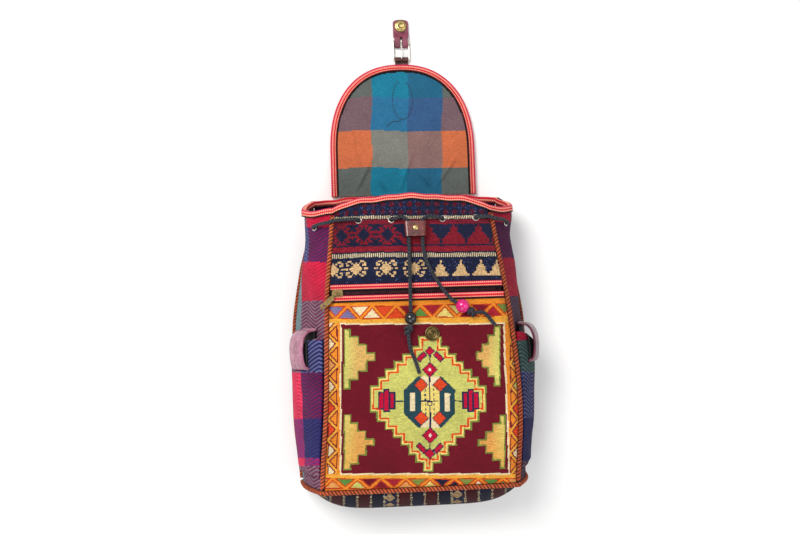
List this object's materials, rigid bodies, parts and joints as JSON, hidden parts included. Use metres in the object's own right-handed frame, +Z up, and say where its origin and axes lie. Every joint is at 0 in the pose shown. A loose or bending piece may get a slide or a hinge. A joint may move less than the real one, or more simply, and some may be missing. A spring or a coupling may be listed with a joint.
{
  "type": "backpack",
  "caption": "Drawstring backpack of flat-woven wool lying on its back, with an open rounded flap, a zipped front pocket, side pockets and leather loops",
  "frame": {"origin": "the middle of the whole bag on the surface that it lies on, with its flap laid open", "axes": "+Z up from the surface towards the bag's front, +Y from the bag's bottom towards its mouth and flap, +X to the wearer's left, the right side as seen from above"},
  "size_m": [0.3132, 0.6334, 0.1396],
  "materials": {
    "pocket_panel": "flat-woven wool",
    "pocket_lining": "woven cloth",
    "front_panel": "flat-woven wool",
    "side_panel_left": "herringbone wool",
    "side_pocket_left": "herringbone wool",
    "side_loop_left": "smooth dyed leather",
    "shoulder_strap_left": "woven webbing",
    "side_panel_right": "herringbone wool",
    "side_pocket_right": "herringbone wool",
    "side_loop_right": "smooth dyed leather",
    "shoulder_strap_right": "woven webbing",
    "back_panel": "woven cloth",
    "bottom_panel": "woven cloth",
    "body_lining": "woven cloth",
    "rim_binding": "patterned ribbon",
    "piping_front_left": "twisted cord",
    "piping_back_left": "twisted cord",
    "piping_front_right": "twisted cord",
    "piping_back_right": "twisted cord",
    "piping_bottom": "twisted cord",
    "zip_tape": "woven tape",
    "ribbon_lower": "patterned ribbon",
    "ribbon_upper": "patterned ribbon",
    "zip_teeth": "antique brass",
    "zip_slider": "antique brass",
    "zip_pull": "antique brass",
    "eyelet_front_1": "polished nickel",
    "eyelet_front_2": "polished nickel",
    "eyelet_front_3": "polished nickel",
    "eyelet_front_4": "polished nickel",
    "eyelet_side_left": "polished nickel",
    "eyelet_side_right": "polished nickel",
    "drawstring": "braided cord",
    "cord_tail_left": "braided cord",
    "cord_tail_right": "braided cord",
    "bead_black": "glossy",
    "bead_pink": "glossy",
    "cord_stopper": "glossy leather",
    "stopper_rivet": "bright brass",
    "flap_outer": "woven cloth",
    "flap_lining": "checked cotton",
    "flap_binding": "patterned ribbon",
    "buckle_chape": "smooth dyed leather",
    "buckle_frame": "polished nickel",
    "buckle_prong": "polished nickel",
    "leather_tab": "smooth dyed leather",
    "snap_socket": "antique brass",
    "snap_stud": "bright brass"
  },
  "bodies": {
    "bag": {"pocket_panel": "pocket_panel", "pocket_lining": "pocket_lining", "front_panel": "front_panel", "side_panel_left": "side_panel_left", "side_pocket_left": "side_pocket_left", "side_loop_left": "side_loop_left", "shoulder_strap_left": "shoulder_strap_left", "side_panel_right": "side_panel_right", "side_pocket_right": "side_pocket_right", "side_loop_right": "side_loop_right", "shoulder_strap_right": "shoulder_strap_right", "back_panel": "back_panel", "bottom_panel": "bottom_panel", "body_lining": "body_lining", "rim_binding": "rim_binding", "piping_front_left": "piping_front_left", "piping_back_left": "piping_back_left", "piping_front_right": "piping_front_right", "piping_back_right": "piping_back_right", "piping_bottom": "piping_bottom", "zip_tape": "zip_tape", "ribbon_lower": "ribbon_lower", "ribbon_upper": "ribbon_upper", "zip_teeth": "zip_teeth", "eyelet_front_1": "eyelet_front_1", "eyelet_front_2": "eyelet_front_2", "eyelet_front_3": "eyelet_front_3", "eyelet_front_4": "eyelet_front_4", "eyelet_side_left": "eyelet_side_left", "eyelet_side_right": "eyelet_side_right", "drawstring": "drawstring", "cord_tail_left": "cord_tail_left", "cord_tail_right": "cord_tail_right", "bead_pink": "bead_pink", "flap_outer": "flap_outer", "flap_lining": "flap_lining", "flap_binding": "flap_binding", "buckle_chape": "buckle_chape", "snap_socket": "snap_socket"},
    "slider": {"zip_slider": "zip_slider"},
    "pull": {"zip_pull": "zip_pull"},
    "stopper": {"cord_stopper": "cord_stopper", "stopper_rivet": "stopper_rivet"},
    "frame": {"buckle_frame": "buckle_frame"},
    "prong": {"buckle_prong": "buckle_prong"},
    "tab": {"leather_tab": "leather_tab", "snap_stud": "snap_stud"},
    "bead": {"bead_black": "bead_black"}
  },
  "joints": [
    {"name": "zip_slide", "type": "slide", "parent": "bag", "child": "slider", "axis": [1, 0, 0], "range_m": [0, 0.15]},
    {"name": "zip_pull_swing", "type": "hinge", "parent": "slider", "child": "pull", "pos_m": [-0.09473, -0.05119, 0.12501], "axis": [-0.6561, 0.7512, -0.073], "range_deg": [0, 165]},
    {"name": "stopper_slide", "type": "slide", "parent": "bag", "child": "stopper", "axis": [0, -0.9862, 0.1654], "range_m": [0, 0.012]},
    {"name": "bead_slide", "type": "slide", "parent": "bag", "child": "bead", "axis": [0.0216, 0.9957, -0.0902], "range_m": [0, 0.012]},
    {"name": "buckle_swing", "type": "hinge", "parent": "bag", "child": "frame", "pos_m": [-0.00073, 0.26225, 0.00345], "axis": [1, 0, 0], "range_deg": [0, 100]},
    {"name": "prong_swing", "type": "hinge", "parent": "frame", "child": "prong", "pos_m": [-0.00073, 0.28775, 0.00345], "axis": [-1, 0, 0], "range_deg": [0, 45]},
    {"name": "tab_swing", "type": "hinge", "parent": "frame", "child": "tab", "pos_m": [-0.00073, 0.28775, 0.00345], "axis": [1, 0, 0], "range_deg": [0, 60]}
  ]
}
